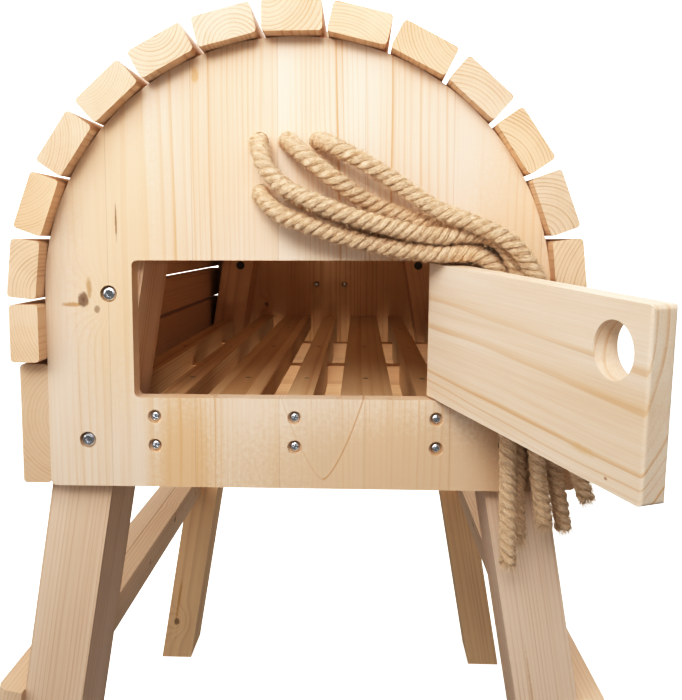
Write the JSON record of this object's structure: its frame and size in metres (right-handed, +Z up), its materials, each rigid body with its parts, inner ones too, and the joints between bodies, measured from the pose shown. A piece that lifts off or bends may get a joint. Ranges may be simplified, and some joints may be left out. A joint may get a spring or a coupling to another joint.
{
  "type": "wooden ride-on play horse",
  "caption": "Slatted wooden play horse on splayed legs, seen from behind, with a jute rope tail and an open storage flap.",
  "frame": {"origin": "On the floor, midway between the feet and midway along the whole length, flap and head included.", "axes": "X to the right seen from behind, Y from tail to head, Z up."},
  "size_m": [0.617, 1.4307, 1.188],
  "materials": {
    "panel_wood": "smooth glued spruce panel, lightly oiled",
    "slat_wood": "planed larch battens",
    "leg_wood": "planed larch posts",
    "floor_wood": "planed battens, in shade",
    "flap_wood": "smooth glued spruce panel, lightly oiled",
    "zinc": "zinc plated",
    "dark_steel": "dark plated",
    "jute": "three-strand twisted jute"
  },
  "bodies": {
    "horse": {"rear_board": "panel_wood", "front_board": "panel_wood", "back_slat_1": "slat_wood", "back_slat_2": "slat_wood", "back_slat_3": "slat_wood", "back_slat_4": "slat_wood", "back_slat_5": "slat_wood", "back_slat_6": "slat_wood", "back_slat_7": "slat_wood", "back_slat_8": "slat_wood", "back_slat_9": "slat_wood", "back_slat_10": "slat_wood", "back_slat_11": "slat_wood", "back_slat_12": "slat_wood", "back_slat_13": "slat_wood", "back_slat_14": "slat_wood", "back_slat_15": "slat_wood", "back_slat_16": "slat_wood", "back_slat_17": "slat_wood", "leg_rear_left": "leg_wood", "leg_rear_right": "leg_wood", "leg_front_left": "leg_wood", "leg_front_right": "leg_wood", "step_outer_left": "slat_wood", "step_outer_right": "slat_wood", "step_inner_left": "slat_wood", "step_inner_right": "slat_wood", "floor_rail_left": "floor_wood", "floor_rail_middle": "floor_wood", "floor_rail_right": "floor_wood", "side_rail_left": "floor_wood", "side_rail_right": "floor_wood", "floor_slat_left": "floor_wood", "floor_slat_right": "floor_wood", "floor_batten_rear": "floor_wood", "floor_batten_middle": "floor_wood", "floor_batten_front": "floor_wood", "floor_nails": "dark_steel", "flap_pins": "zinc", "board_screws": "zinc", "leg_bolts": "zinc", "leg_nuts": "dark_steel", "slat_screws": "zinc", "step_screws": "zinc", "neck_screws": "dark_steel", "head_board": "panel_wood", "neck_cheek_left": "panel_wood", "neck_cheek_right": "panel_wood", "neck_bolts": "zinc", "tail_knots": "jute", "tail_rope_1": "jute", "tail_rope_2": "jute", "tail_rope_3": "jute", "tail_rope_4": "jute", "tail_rope_5": "jute"},
    "flap": {"flap": "flap_wood"}
  },
  "joints": [
    {"name": "flap_hinge", "type": "hinge", "parent": "horse", "child": "flap", "pos_m": [0.124, -0.4686, 0.695], "axis": [0.0225, -0.029, 0.9993], "range_deg": [-111.5, 2]}
  ]
}
